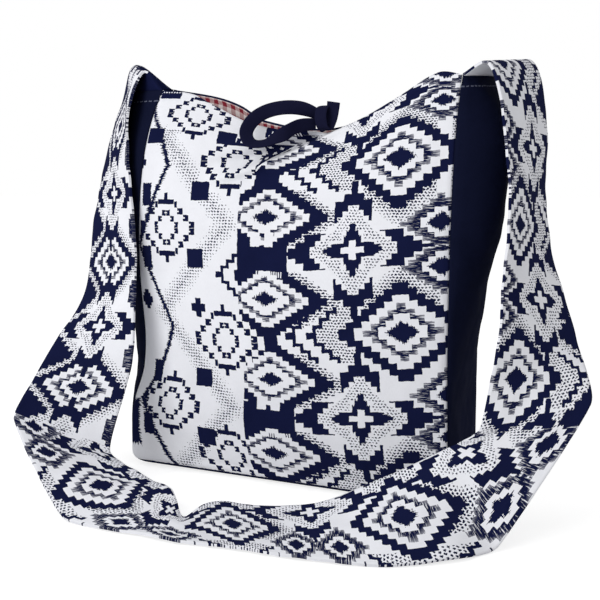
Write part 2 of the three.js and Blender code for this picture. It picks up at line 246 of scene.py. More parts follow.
def back_wall(across, turn, share):
    z, inset = wall_row(turn, share, HEIGHT + BACK_RISE - read_curve(BACK_DROP, across))
    left = seam_x(-1, BACK_LEAN, LEFT_WAIST, z) + inset
    right = seam_x(1, BACK_LEAN, RIGHT_WAIST, z) - inset
    run = (across - PINCH) * (right - left)
    out = BACK_SWELL * swell_across(across) * np.sin(np.pi * share ** 0.75)
    pull = BACK_PULL * hump(run, 52 * MM) * fade(0.5, 1, share)
    return np.stack([left + (right - left) * across, seam_depth(z) - inset + out - pull, z], -1)


def sewn_point(wall):
    return wall(np.array([[PINCH]]), np.array([[np.pi / 2]]), np.array([[1.0]]))[0, 0]


pinch_front, pinch_back = sewn_point(front_wall), sewn_point(back_wall)
print("ties are sewn at", pinch_front.round(4), "and", pinch_back.round(4))

# %% [markdown]
# A gusset is the narrow wall between front and back. It takes both edges from them, so the seams close,
# and bulges in between. Near the top the strap pulls it outward into a flare.

# %% Gussets as formulas
SIDE_SWELL = 34 * MM
LEFT_FLARE, RIGHT_FLARE, FLARE_HEIGHT, FLARE_REACH = 0.45, 0.2, 0.93, 0.15


def side_wall(across, turn, share, edge, swell):
    front, back = front_wall(edge, turn, share), back_wall(edge, turn, share)
    points = front + (back - front) * across[..., None]
    points[..., 0] += swell * swell_across(across)
    return points


def flare(share):
    return hump(share - FLARE_HEIGHT, FLARE_REACH)


def left_wall(across, turn, share):
    full = 1 - np.abs(np.minimum(2 * share ** 1.5 - 1, 0.72)) ** 5 + LEFT_FLARE * flare(share)
    return side_wall(across, turn, share, np.zeros_like(across), -SIDE_SWELL * full)


def right_wall(across, turn, share):
    full = np.sin(np.pi * share ** 2.4) + RIGHT_FLARE * flare(share)
    return side_wall(across, turn, share, np.ones_like(across), SIDE_SWELL * full)


print("gussets bulge by up to", SIDE_SWELL / MM, "mm")

# %% [markdown]
# The two ties are narrow tubes of navy cotton, pressed flat. A curve with a bevel would twist freely,
# so each tie is a ribbon along its route with its own width direction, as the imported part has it.
# Where it goes through the knot it is gathered: narrower and thicker.

# %% A ribbon along a route
TIE_WIDTH, TIE_THICK, TIE_GATHER = 13 * MM, 2.2 * MM, 0.25
TIE_ROWS, TIE_SIDES = 161, 20
KNOT = pinch_front + MM * np.array([-2, -5, 10])


def smooth_route(points, at):
    """Centripetal Catmull-Rom curve through the points; at counts along them and may be a fraction."""
    points = np.asarray(points, float)
    p = np.concatenate([[2 * points[0] - points[1]], points, [2 * points[-1] - points[-2]]])
    k = np.minimum(at.astype(int), len(points) - 2)
    t = (at - k)[:, None]
    p0, p1, p2, p3 = p[k], p[k + 1], p[k + 2], p[k + 3]
    d0, d1, d2 = (np.linalg.norm(b - a, axis=1, keepdims=True) ** 0.5
                  for a, b in ((p0, p1), (p1, p2), (p2, p3)))
    m1 = d1 * ((p1 - p0) / d0 - (p2 - p0) / (d0 + d1) + (p2 - p1) / d1)
    m2 = d1 * ((p2 - p1) / d1 - (p3 - p1) / (d1 + d2) + (p3 - p2) / d2)
    return p1 + m1 * t + (3 * (p2 - p1) - 2 * m1 - m2) * t ** 2 + (2 * (p1 - p2) + m1 + m2) * t ** 3


def way_along(centre):
    return np.concatenate([[0], np.cumsum(np.linalg.norm(np.diff(centre, axis=0), axis=1))])


def tie_ribbon(name, route, width_way):
    centre = smooth_route(route, np.linspace(0, len(route) - 1, TIE_ROWS))
    ahead = unit(np.gradient(centre, axis=0))
    across = width_way(centre, np.linspace(0, 1, TIE_ROWS)[:, None])
    across = unit(across - ahead * (across * ahead).sum(1, keepdims=True))
    face = np.cross(ahead, across)
    gathered = 1 - TIE_GATHER * hump(np.linalg.norm(centre - KNOT, axis=1, keepdims=True), TIE_WIDTH)
    ring = np.linspace(0, 2 * np.pi, TIE_SIDES, endpoint=False)
    wide = np.sign(np.cos(ring)) * np.abs(np.cos(ring)) ** 0.6 * TIE_WIDTH / 2
    deep = np.sign(np.sin(ring)) * np.abs(np.sin(ring)) ** 0.8 * TIE_THICK / 2
    points = (centre[:, None] + across[:, None] * wide[None, :, None] * gathered[:, None]
              + face[:, None] * deep[None, :, None] * (1.6 - 0.6 * gathered[:, None]))
    around = np.arange(TIE_SIDES)
    after = (around + 1) % TIE_SIDES
    row = np.arange(TIE_ROWS - 1)[:, None] * TIE_SIDES
    above = row + TIE_SIDES
    quads = np.stack([row + around, row + after, above + after, above + around], -1).reshape(-1, 4)
    ends = [around[::-1].tolist(), (around + (TIE_ROWS - 1) * TIE_SIDES).tolist()]
    mesh = bpy.data.meshes.new(name)
    mesh.from_pydata(points.reshape(-1, 3).tolist(), [], quads.tolist() + ends)
    run = way_along(centre)
    flat = np.stack(np.broadcast_arrays(wide[None, :], run[:, None]), -1).reshape(-1, 2)
    smooth = [True] * len(quads) + [False] * len(ends)
    return finished(name, mesh, flat[corner_points(mesh)], smooth), centre, run[-1]


print("knot lies at", KNOT.round(4))

# %% [markdown]
# The front tie makes the bow's loop, and the back one goes round it once and ends in a square tail.
# A simulated knot would slip, so the routes are points, in millimetres from the sewn ends and the knot.

# %% Ties
LOOP_CENTRE = pinch_front + MM * np.array([-34, -29, 6])
LOOP_AXIS = np.array([0.5, -0.85, 0.2])
LOOP_TILT = 0.4
SIDEWAYS, INTO_KNOT = np.array([1.0, 0, 0]), np.array([-0.35, 0, -0.94])


def beside(point, *offsets):
    return [point + MM * np.array(offset) for offset in offsets]


front_route = [
    *beside(pinch_front, (0, 1, 1.9), (-2, 0, 7)), *beside(KNOT, (0, 3, 3)),
    *beside(pinch_front, (-15, -10, 21), (-31, -18, 23), (-48, -27, 19), (-58, -36, 10), (-61, -42, -1),
            (-55, -45, -10), (-43, -43, -11), (-30, -34, -4), (-19, -21, 5)),
    *beside(KNOT, (-4, -4, -2))]
back_route = [
    *beside(pinch_back, (0, 0, 1.9), (1, -1, 8)),
    *beside(KNOT, (3, 12, 11), (4, 1, 13.5), (4, -8, 10.5), (4.5, -11.5, 2), (6, -9.5, -5.5), (9, -6, -6),
            (11.5, -4, 0), (12.5, -3, 5.5), (13, -2.5, 11), (14, -3.5, 17))]


def loop_width(centre, along):
    turned = unit(unit(centre - LOOP_CENTRE) + LOOP_TILT * LOOP_AXIS)
    share, tucked = fade(0.1, 0.3, along), fade(0.75, 0.92, along)
    free = SIDEWAYS * (1 - share) + turned * share
    return free * (1 - tucked) + INTO_KNOT * tucked


def wrap_width(centre, along):
    return SIDEWAYS + 0 * along


front_tie, front_line, front_length = tie_ribbon("front_tie_ribbon", front_route, loop_width)
back_tie, back_line, back_length = tie_ribbon("back_tie_ribbon", back_route, wrap_width)
place(front_tie, "front_tie")
place(back_tie, "back_tie")
print("ties are", round(front_length, 3), "and", round(back_length, 3), "metres long")

# %% [markdown]
# Real cotton is never as clean as a formula: the cloth rolls in beside turned seams, the hem is two layers
# thick, and the filled cloth undulates. A cloth simulation would lose the fitted outline, so a few waves
# are added up instead, the same on every run.

# %% Hills, seams and hem
SEAM_ROLL, SEAM_REACH = 1.8 * MM, 3 * MM
HEM_WIDTH = 9 * MM
HILLS = ((0.3, 1.0, 0.4), (1.1, 1.31, 2.2), (1.9, 0.83, 4.1), (2.7, 1.63, 1.3), (0.7, 1.9, 5.2))
LEFT_FRONT, RIGHT_FRONT = np.array([0.7, 0.7, 0]), np.array([-0.7, 0.7, 0])
LEFT_BACK, RIGHT_BACK = np.array([0.7, -0.7, 0]), np.array([-0.7, -0.7, 0])


def waves(u, v, size):
    """Gentle uneven hills; size is the usual distance between two of them."""
    total = 0
    for turn, stretch, shift in HILLS:
        along = (u * math.cos(turn) + v * math.sin(turn)) * 2 * np.pi * stretch / size
        total = total + np.sin(along + shift + 0.9 * np.sin(along * 0.37 + 2 * shift)) / stretch
    return total / 3.2


def seam_roll(points, width, across, inside_left, inside_right):
    """Both walls of a seam roll inward together, into the corner that they share."""
    left = hump(across * width, SEAM_REACH)[..., None]
    right = hump((1 - across) * width, SEAM_REACH)[..., None]
    return points + SEAM_ROLL * (left * inside_left + right * inside_right)


def off_seams(across, reach):
    return fade(0, reach, across) * fade(0, reach, 1 - across)


def hem(below):
    """A double hem stands out a little, with a groove where it is sewn down."""
    double = 1 - fade(HEM_WIDTH - 1 * MM, HEM_WIDTH, below)
    return 0.7 * MM * double - 0.5 * MM * hump(below - HEM_WIDTH - 0.5 * MM, 1.2 * MM)


print("walls roll in", SEAM_ROLL / MM, "mm at the seams")

# %% [markdown]
# These moves are added to each wall and fade out at the seams, so that neighbours stay together there.
# The front also gets the ridge beside its crease below the knot.

# %% Dressed walls
CREASE_SQUARE = 0.447  # from the way across to the way square to the crease


def dressed_front(across, turn, share):
    points = front_wall(across, turn, share)
    u, z = across * WIDTH, points[..., 2]
    inner = off_seams(across, 0.05)
    below = HEIGHT - read_curve(FRONT_DROP, across) - z
    hills = 1.6 * MM * waves(u, z, 0.12) + 0.35 * MM * waves(u + 0.3, z, 0.035)
    valley = ((across - PINCH) * WIDTH + CREASE_RUN * (1 - share)) * CREASE_SQUARE
    ridge = 5 * MM * hump(valley - 9 * MM, 4 * MM) - 4 * MM * hump(valley + 2 * MM, 6 * MM)
    ridge = ridge * fade(0.78, 0.88, share) * fade(0, 5 * MM, below)
    hills = hills * inner * fade(0, 0.06, share) * fade(0, 0.02, below)
    points[..., 1] -= hills + ridge * inner + hem(below)
    return seam_roll(points, WIDTH, across, LEFT_FRONT, RIGHT_FRONT)


def dressed_back(across, turn, share):
    points = back_wall(across, turn, share)
    u, z = across * WIDTH, points[..., 2]
    below = HEIGHT + BACK_RISE - read_curve(BACK_DROP, across) - z
    hills = 1.8 * MM * waves(u + 0.7, z, 0.13) + 0.4 * MM * waves(u, z + 0.2, 0.04)
    hills = hills * off_seams(across, 0.05) * fade(0, 0.06, share) * fade(0, 0.02, below)
    points[..., 1] += hills + hem(below)
    return seam_roll(points, WIDTH, across, LEFT_BACK, RIGHT_BACK)


def dressed_side(wall, side, inside_front, inside_back):
    def dressed(across, turn, share):
        points = wall(across, turn, share)
        u, z = across * DEPTH, points[..., 2]
        hills = 1.4 * MM * waves(u + side, z, 0.07) + 0.4 * MM * waves(u, z + 0.4, 0.026)
        free = off_seams(across, 0.12) * fade(0, 0.06, share) * fade(0, 0.03, 1 - share)
        points[..., 0] += side * hills * free
        return seam_roll(points, DEPTH, across, inside_front, inside_back)
    return dressed


dressed_left = dressed_side(left_wall, -1, LEFT_FRONT, LEFT_BACK)
dressed_right = dressed_side(right_wall, 1, RIGHT_FRONT, RIGHT_BACK)
print("the crease leans", round(math.degrees(math.acos(CREASE_SQUARE))), "degrees")

# %% [markdown]
# The four walls are cut from cotton and sewn inside out. Each becomes a closed sheet that keeps its place
# on the flat cloth for the print. The print sits a little askew on the real bag, so the flat place leans,
# and near the mouth the ties gather more cloth. The base is ruled between the lowest rows of two walls.

# %% Outer walls and base
ROUND_ROWS, WALL_ROWS = 10, 150
CORNER_MITRE = 5 * MM
PRINT_LEAN, BACK_PRINT_LEAN, LEAN_FROM = 0.07, 0.05, 0.16
GATHER_BELOW, GATHERED = 60 * MM, 25 * MM
BACK_PRINT_RISE = 71 * MM
HEM_LINE = 0.5  # flat place of a gusset's top edge


def wall_piece(name, dressed, columns, turn, flat_of, near=0.0, far=COTTON, edge=0.0, short=0.0):
    under, share = climb(ROUND_ROWS, WALL_ROWS)
    share = share * (1 - short)
    across = np.linspace(edge, 1 - edge, columns)[None, :] + 0 * share
    points = dressed(across, under + 0 * across, share + 0 * across)
    return closed_sheet(name, points, flat_of(across, points), turn, near, far, mitre=CORNER_MITRE)


def print_place(across, points):
    z = points[..., 2]
    gather_from = HEIGHT - read_curve(FRONT_DROP, across) - GATHER_BELOW
    drawn = np.maximum(z - gather_from, 0) / GATHER_BELOW
    return np.stack([across * WIDTH + PRINT_LEAN * (z - LEAN_FROM), z + GATHERED * drawn ** 2], -1)


def back_place(across, points):
    z = points[..., 2]
    drawn = read_curve(BACK_DROP, across) * fade(0.1, 0.34, z)
    return np.stack([(1 - across) * WIDTH + BACK_PRINT_LEAN * (z - LEAN_FROM),
                     z + BACK_PRINT_RISE + drawn], -1)


def side_place(across, points):
    return np.stack([across * DEPTH, HEM_LINE + points[..., 2] - HEIGHT - BACK_RISE * across], -1)


front_panel = wall_piece("front_cloth", dressed_front, 151, 1, print_place)
back_panel = wall_piece("back_cloth", dressed_back, 121, -1, back_place)
left_gusset = wall_piece("left_gusset_cloth", dressed_left, 61, -1, side_place)
right_gusset = wall_piece("right_gusset_cloth", dressed_right, 61, 1, side_place)
place(front_panel, "front_panel")
place(back_panel, "back_panel")
place(left_gusset, "left_gusset")
place(right_gusset, "right_gusset")

BASE_COLUMNS, BASE_ROWS, BASE_EDGE = 61, 25, 0.006


def base_piece(name, near, far):
    across = np.linspace(BASE_EDGE, 1 - BASE_EDGE, BASE_COLUMNS)[None, :]
    along = np.linspace(BASE_EDGE, 1 - BASE_EDGE, BASE_ROWS)[:, None]
    lowest = np.zeros((1, BASE_COLUMNS))
    front, back = front_wall(across, lowest, lowest), back_wall(across, lowest, lowest)
    points = front + (back - front) * along[..., None]
    points[..., 2] = 0
    return closed_sheet(name, points, points[..., :2].copy(), -1, near, far)


base_panel = base_piece("base_cloth", 0, COTTON)
place(base_panel, "base_panel")

# %% [markdown]
# Inside, a thin checked lining follows every wall and stops about two millimetres below the hem.
# It is only seen in the mouth, but a scene may look in from above, so all five pieces are there.

# %% Lining
LINING_NEAR, LINING_FAR = 1.9 * MM, 2.7 * MM
LINING_EDGE, SIDE_EDGE, LINING_SHORT = 0.012, 0.04, 0.005
front_lining, back_lining, left_lining, right_lining = (
    wall_piece(name, *how, LINING_NEAR, LINING_FAR, edge, LINING_SHORT) for name, edge, *how in (
        ("front_lining_cloth", LINING_EDGE, dressed_front, 91, 1, print_place),
        ("back_lining_cloth", LINING_EDGE, dressed_back, 91, -1, back_place),
        ("left_lining_cloth", SIDE_EDGE, dressed_left, 41, -1, side_place),
        ("right_lining_cloth", SIDE_EDGE, dressed_right, 41, 1, side_place)))
base_lining = base_piece("base_lining_cloth", LINING_NEAR, LINING_FAR)
linings = (front_lining, back_lining, left_lining, right_lining, base_lining)
for piece in linings:
    place(piece, piece.name.removesuffix("_cloth"))

# %% [markdown]
# The strap is a band of the printed cotton, ninety millimetres wide, sewn to the tops of both gussets.
# It rises over the corners, hangs down both sides and is folded forward onto the floor. A simulation
# would not find these folds, so each line across the strap is given by its two ends.

# %% Strap route
STRAP_WIDTH, STRAP_THICK = 90 * MM, 2.2 * MM
SEWN_SINK = 0.3 * MM


def corner(side, out, fore, up):
    """A point in millimetres from a front corner of the bag: outward, forward and up from the floor."""
    return np.array([side * (WIDTH / 2 + out * MM), -DEPTH / 2 - fore * MM, up * MM])


def top(drop):
    return HEIGHT / MM - drop


def sewn_end(wall):
    """Both ends of the line where the strap is sewn, and the bow of the gusset's edge there."""
    edge = wall(np.array([[0, 0.5, 1.0]]), np.full((1, 3), np.pi / 2), np.ones((1, 3)))[0]
    middle = (edge[0] + edge[2]) / 2
    half = unit(edge[2] - middle) * STRAP_WIDTH / 2
    sink = np.array([0, 0, -SEWN_SINK])
    return middle + sink - half, middle + sink + half, edge[1] - middle


left_end, right_end = sewn_end(left_wall), sewn_end(right_wall)
FOLD = True
LEFT_LINES = (
    ((-24, -5, top(-17)), (42, -82, top(-36))),
    ((-5, -4, top(14)), (50, -70, top(5))),
    ((-2, -2, top(62)), (66, -58, top(69))),
    ((-14, 8, top(118)), (63, -36, top(119))),
    ((-26, 22, top(192)), (59, -8, top(200))),
    ((-31, 42, 114), (55, 61, 114)),
    ((-25, 70, 31), (48, 117, 69), FOLD),
    ((-113, 97, 17), (-47, 164, 3), FOLD))
RIGHT_LINES = (
    ((-196, 119, 3), (-176, 166, 3), FOLD),
    ((-186, 92, 4), (-142, 160, 2.4)),
    ((-111, 72, 11), (-73, 154, 2.4)),
    ((-42, 62, 41), (-6, 138, 2.4)),
    ((-14, 54, 56), (36, 107, 2.4)),
    ((6, 47, 66), (61, 74, 3), FOLD),
    ((38, 43, 87), (119, 0, 109), FOLD),
    ((45, 25, 158), (96, -50, 151)),
    ((47, 10, top(165)), (73, -76, top(167))),
    ((48, 2, top(107)), (60, -87, top(108))),
    ((40, -4, top(39)), (58, -92, top(34))),
    ((24, -5, top(-8)), (42, -93, top(-19))))
strap_route = [left_end[:2]]
for side, rows in ((-1, LEFT_LINES), (1, RIGHT_LINES)):
    for near, far, *fold in rows:
        strap_route.append((corner(side, *near), corner(side, *far), *fold))
strap_route.append(right_end[:2])
print("strap has", len(strap_route), "lines across it")

# %% [markdown]
# Two smooth curves through the ends of those lines carry the band. A fold is sharper than a smooth
# curve, so each fold line is doubled close by. Lines without a fold are as long as the strap is wide.

# %% Strap band
FOLD_SHARE, ROW_STEP, FEWEST_ROWS = 0.06, 2.2 * MM, 6
STRAP_COLUMNS = 37
lines = []
for line in strap_route:
    near, far = line[:2]
    lines.append(np.array([near if FOLD in line[2:] else far + unit(near - far) * STRAP_WIDTH, far]))
edges = []
for k, line in enumerate(lines):
    if FOLD in strap_route[k][2:]:
        edges += [line + FOLD_SHARE * (lines[k - 1] - line), line + FOLD_SHARE * (lines[k + 1] - line)]
    else:
        edges.append(line)
edges = np.array(edges)
places = [0.0]
for k in range(len(edges) - 1):
    reach = np.linalg.norm(edges[k + 1] - edges[k], axis=1).max()
    count = max(math.ceil(reach / ROW_STEP), FEWEST_ROWS)
    places += list(k + np.arange(1, count + 1) / count)
places = np.array(places)
near_edge, far_edge = smooth_route(edges[:, 0], places), smooth_route(edges[:, 1], places)
share = np.linspace(0, 1, STRAP_COLUMNS)[None, :, None]
strap_points = near_edge[:, None] * (1 - share) + far_edge[:, None] * share
from_left, from_right = np.clip(1 - places, 0, 1), np.clip(places - places[-1] + 1, 0, 1)
for bow, weight in ((left_end[2], from_left), (right_end[2], from_right)):
    strap_points += weight[:, None, None] * swell_across(share) * bow
strap_run = way_along(strap_points[:, STRAP_COLUMNS // 2])
print("strap is", round(strap_run[-1], 3), "metres long in", len(places), "rows")

# %% [markdown]
# Between its folds the band is never quite flat: it cups and ripples a little, and stays off the floor.
# The ripples fade towards both sewn ends. The motifs lie a little unevenly along it in the picture, so
# the flat place is shifted by some millimetres.

# %% Strap ripples
STRAP_LOWEST = 1.3 * MM
PRINT_SHIFT = [(0, 0), (0.232, 0), (0.302, 2), (0.367, 8), (0.493, 24), (0.64, 23), (0.782, 22), (0.84, 10),
               (0.876, 0), (0.96, -13), (1.032, -13), (1.092, -2), (1.3, 0)]
u = (share[..., 0] * STRAP_WIDTH) + 0 * strap_run[:, None]
v = strap_run[:, None] + 0 * u
free = fade(0.02, 0.09, v) * fade(0.02, 0.09, strap_run[-1] - v)
lift = 1.5 * MM * waves(u, v, 0.09) + 0.5 * MM * waves(u + 0.2, v, 0.03)
strap_points = strap_points + grid_normals(strap_points, 1) * (lift * free)[..., None]
strap_points[..., 2] = np.maximum(strap_points[..., 2], STRAP_LOWEST)
shift_at, shift_by = np.array(PRINT_SHIFT).T
strap_flat = np.stack([u, v + MM * np.interp(v, shift_at, shift_by)], -1)
strap = closed_sheet("strap_cloth", strap_points, strap_flat, 1, -STRAP_THICK / 2, STRAP_THICK / 2,
                     inner_flat=(1, 0))
place(strap, "strap")

# %% [markdown]
# The print is worked out by the shader from the flat place of every point, in millimetres.
# An image would be simpler, but a stepped traditional pattern is only counting: whole steps away from
# the middle of a motif give its nested diamonds. A small helper lets the counting be written as sums.

# %% Shader arithmetic
class Number:
    """A value that the shader works out at every point of the cloth."""

    def __init__(self, tree, socket):
        self.tree, self.socket = tree, socket

    def made(self, operation, *others):
        node = self.tree.nodes.new("ShaderNodeMath")
        node.operation = operation
        for slot, value in zip(node.inputs, (self, *others)):
            if isinstance(value, Number):
                self.tree.links.new(value.socket, slot)
            else:
                slot.default_value = value
        return Number(self.tree, node.outputs[0])

    def __invert__(self):
        return (self * -1) + 1

    def between(self, low, high):
        return (self > low) & (self < high)

    def clamped(self):
        return self.made("MAXIMUM", 0).made("MINIMUM", 1)


SIGNS = {"__add__": "ADD", "__sub__": "SUBTRACT", "__mul__": "MULTIPLY", "__truediv__": "DIVIDE",
         "__and__": "MULTIPLY", "__or__": "MAXIMUM", "__lt__": "LESS_THAN", "__gt__": "GREATER_THAN",
         "__abs__": "ABSOLUTE", "floor": "FLOOR", "part": "FRACT"}
for sign, operation in SIGNS.items():
    setattr(Number, sign, partialmethod(Number.made, operation))


def cloth_numbers(tree):
    """The flat place on the cloth in millimetres, across and along."""
    uv = tree.nodes.new("ShaderNodeUVMap")
    uv.uv_map = "cloth"
    split = tree.nodes.new("ShaderNodeSeparateXYZ")
    tree.links.new(uv.outputs[0], split.inputs[0])
    return Number(tree, split.outputs[0]) * 1000, Number(tree, split.outputs[1]) * 1000


def dial(node, **values):
    """Sets inputs of a node by name, with _ for each space."""
    for name, value in values.items():
        node.inputs[name.replace("_", " ")].default_value = value


def noise(u, v, scale_u, scale_v, detail=2.0):
    tree = u.tree
    join = tree.nodes.new("ShaderNodeCombineXYZ")
    tree.links.new((u * scale_u).socket, join.inputs[0])
    tree.links.new((v * scale_v).socket, join.inputs[1])
    texture = tree.nodes.new("ShaderNodeTexNoise")
    texture.noise_dimensions = "2D"
    dial(texture, Scale=1.0, Detail=detail)
    tree.links.new(join.outputs[0], texture.inputs["Vector"])
    return Number(tree, texture.outputs[0])


print("shader sums know", len(SIGNS), "signs")

# %% [markdown]
# The motifs of the print are old weaving shapes: nested stepped diamonds, a four-pointed star with a
# cross in it, broken squares set in a ring, combs of short dashes and soft brushed edges.
# Each function answers with one for ink and nought for bare cloth. Its numbers are cloth millimetres.

# %% Motifs
BROKEN_STEP = (7.3, 6.3)
DOTS = ((3.3, 2.6), (0.95, 0.68))  # gap and half size of the small dots


class Print:
    """The numbers every motif needs at one point of the cloth."""

    def __init__(self, tree):
        u, v = cloth_numbers(tree)
        wobble_u = noise(u, v, 0.22, 0.22) - 0.5
        wobble_v = noise(u + 90, v, 0.22, 0.22) - 0.5
        self.u, self.v = u + wobble_u * 1.5, v + wobble_v * 1.5
        self.hair_u = (noise(u, v, 0.07, 0.85, 2) - 0.5) * 10
        self.hair_v = (noise(u, v + 70, 0.85, 0.07, 2) - 0.5) * 10
        self.streak = ((noise(u, v, 0.11, 1.4, 3) - 0.22) * 4.5).clamped()
        self.patchy = noise(u + 40, v, 0.5, 0.5) - 0.5

    def moved(self, u, v):
        """The same cloth counted from another place."""
        other = copy.copy(self)
        other.u, other.v = u, v
        return other

    def repeat(self, start, period):
        """The same cloth counted from the nearest of the motifs repeated up the cloth."""
        turn = ((self.v - start + period / 2) / period).part() * period - period / 2
        return self.moved(self.u, turn)

    def brushed(self, share):
        return self.moved(self.u + self.hair_u * share, self.v + self.hair_v * share)

    def off(self, middle):
        return abs(self.u - middle[0]), abs(self.v - middle[1])

    def counted(self, middle, size):
        du, dv = self.off(middle)
        return du / size[0], dv / size[1]

    def steps(self, middle, size, shift=0.0):
        """Whole steps from the middle; a shift of half a step sets the corners between the old ones."""
        x, y = self.counted(middle, size)
        return (x + shift).floor() + (y + shift).floor() if shift else x.floor() + y.floor()

    def far(self, middle, size):
        x, y = self.counted(middle, size)
        return x + y

    def box(self, middle, half):
        du, dv = self.off(middle)
        return (du < half[0]) & (dv < half[1])

    def dashes(self, gap, half, turn=0.0):
        """Uneven rows of small dashes set like bricks: under one inside a dash, growing away from it."""
        u = self.u + self.v * turn + self.hair_u * 0.25
        row = (self.v + self.hair_v * 0.2) / gap[1]
        x = (u / gap[0] + row.floor() * 0.5).part() - 0.5
        y = row.part() - 0.5
        return x * x * (gap[0] / half[0]) ** 2 + y * y * (gap[1] / half[1]) ** 2 + self.patchy * 3

    def nested(self, middle, size, heart, band):
        """Brushed heart in a bare ring, then a streaked band in a bare ring; size is one step of each."""
        core = self.brushed(0.75).far(middle, heart) < 1
        wide = (size[0] * 1.1, size[1] * 1.05)
        outward = (self.far(middle, size) - band[0]) / (band[1] - band[0])
        thin = (self.streak * 1.5 - outward * 0.65).clamped()
        return core | (self.steps(middle, size) > band[0]) & (self.steps(middle, wide, 0.5) < band[1]) & thin

    def star(self, middle, dots):
        """A dark star round a bare plus, a dotted diamond about it and four stepped arrow heads."""
        reach_u, reach_v = 47, 43.5
        du, dv = self.off(middle)
        su, sv = self.brushed(0.5).off(middle)
        plus = ((du < 3.4) & (dv < 8.4)) | ((du < 11.2) & (dv < 2.6))
        heart = (su < 21) & (dv < 6.2) | (su < 25) & (dv < 4) | (su < 29) & (dv < 1.8)
        heart = heart | (du < 8.6) & (sv < 12.5) | (du < 6) & (sv < 17) | (du < 3) & (sv < 23)
        away = su / reach_u + sv / reach_v + su * sv * 0.0005
        halo = (du / reach_u * 9).floor() + (dv / reach_v * 9).floor() < 7.5
        up = (du < 18.5) & dv.between(14, 43) | (du < 10) & dv.between(42.5, 49)
        up = up | (du < 3.3) & dv.between(48, 60)
        side = (dv < 15.8) & du.between(20, 48) | (dv < 9.3) & du.between(47.5, 56.5)
        side = side | (dv < 4.8) & du.between(56, 64) | (dv < 1.7) & du.between(63, 74)
        round_heart = ((du < 24) & (dv < 8)) | ((du < 11) & (dv < 17))
        grains = (away < 0.97) & (away > 0.42) & (dots < 0.95) & ~round_heart
        return (heart & ~plus) | ((up | side) & ~halo) | grains, (away < 1) | up | side

    def ring(self, middle, size, count):
        """Small notched squares set corner to corner round a diamond."""
        x, y = self.counted(middle, size)
        n = x.floor() + y.floor()
        cell = (x.part() > 0.04) & (y.part() > 0.02)
        notch = (x.part() < 0.32) & y.part().between(0.4, 0.62)
        return n.between(count - 0.5, count + 0.5) & cell & ~notch

    def broken(self, middle):
        """Two rings of broken squares with a T mark above and below."""
        rings = self.ring(middle, BROKEN_STEP, 4) | self.ring(middle, (5.2, 5.6), 2)
        du, dv = self.off(middle)
        mark = ((du < 10.6) & dv.between(22.4, 27.2)) | ((du < 2.2) & dv.between(27, 33.5))
        return (rings & ~((du < 11) & (dv > 18.5))) | mark


print("dots stand", DOTS[0], "mm apart")

# %% [markdown]
# The main stripe of the print has large medallions and stars by turns, chevrons on one side and pairs of
# small medallions on the other. The strap shows it too, so it has a function of its own.

# %% Stripe of medallions and stars
MEDALLION, BIG_STEP, CHEVRON_STEP = (294, 0), (7.4, 5.4), (7.4, 6.3)
SMALL, SMALL_STEP = (332, 0), (6.0, 4.2)
STRIPE_SKEW = 0.08


def stripe_ink(p, dots):
    p = p.moved(p.u, p.v - (p.u - 280) * STRIPE_SKEW)
    tall = p.repeat(156, 150)
    n = tall.steps(MEDALLION, BIG_STEP)
    ink = tall.nested(MEDALLION, BIG_STEP, (16, 10), (2.5, 4.5)) | n.between(5.5, 7.5)
    far = tall.brushed(0.4).far(MEDALLION, BIG_STEP)
    above = (tall.v > 0) | p.v.between(240, 290)
    fringe = (far < 11.2) & (n > 7.5) & above & (abs(p.u - 294) < 34)
    ink = ink | fringe & (dots + (far - 8.3) * 0.7 < 2.4)
    n, half = tall.steps(MEDALLION, CHEVRON_STEP), tall.brushed(0.12).steps(MEDALLION, CHEVRON_STEP, 0.5)
    chevron = n.between(7.5, 10.5) & (dots < 1.3) | (n > 10.5) & (half < 12.5) | (n > 13.5) & (half < 15.5)
    ink = ink | (chevron & (abs(p.u - 297) > 45) & (abs(tall.v) < (p.u > 330) * 14 + 25))
    star, cover = p.repeat(229.3, 149.5).star((251, 0), dots)
    ink = (ink & ~cover) | star
    for start in (62, 99.5):
        q = p.repeat(start, 149)
        small = q.nested(SMALL, SMALL_STEP, (13, 8.5), (2.5, 5.5))
        ink = (ink & ~(q.steps(SMALL, SMALL_STEP) < 4.5)) | small
    return ink


print("medallions stand", MEDALLION[0], "mm across the cloth")

# %% [markdown]
# The left third of the front is airy: broken diamonds, squares and a dotted zigzag on white. These motifs
# don't follow one grid, so their middles are listed as they lie on the cloth.

# %% Airy stripe
BROKEN_AT = ((47, 243), (45, 71), (70, 364), (120, 307), (113, 140), (112, 24))
SQUARES_AT = ((88, 278), (83, 215), (84, 102), (88, 42), (107, 338), (24, 334))
BARS_AT = ((20, 275), (19, 214), (22, 102), (17, 46))


def any_of(parts):
    total = parts[0]
    for part in parts[1:]:
        total = total | part
    return total


def zigzag(p, low, period, right, reach):
    fall = abs(p.repeat(low, period).v)
    return p.u - right + fall * (reach / (period / 2))


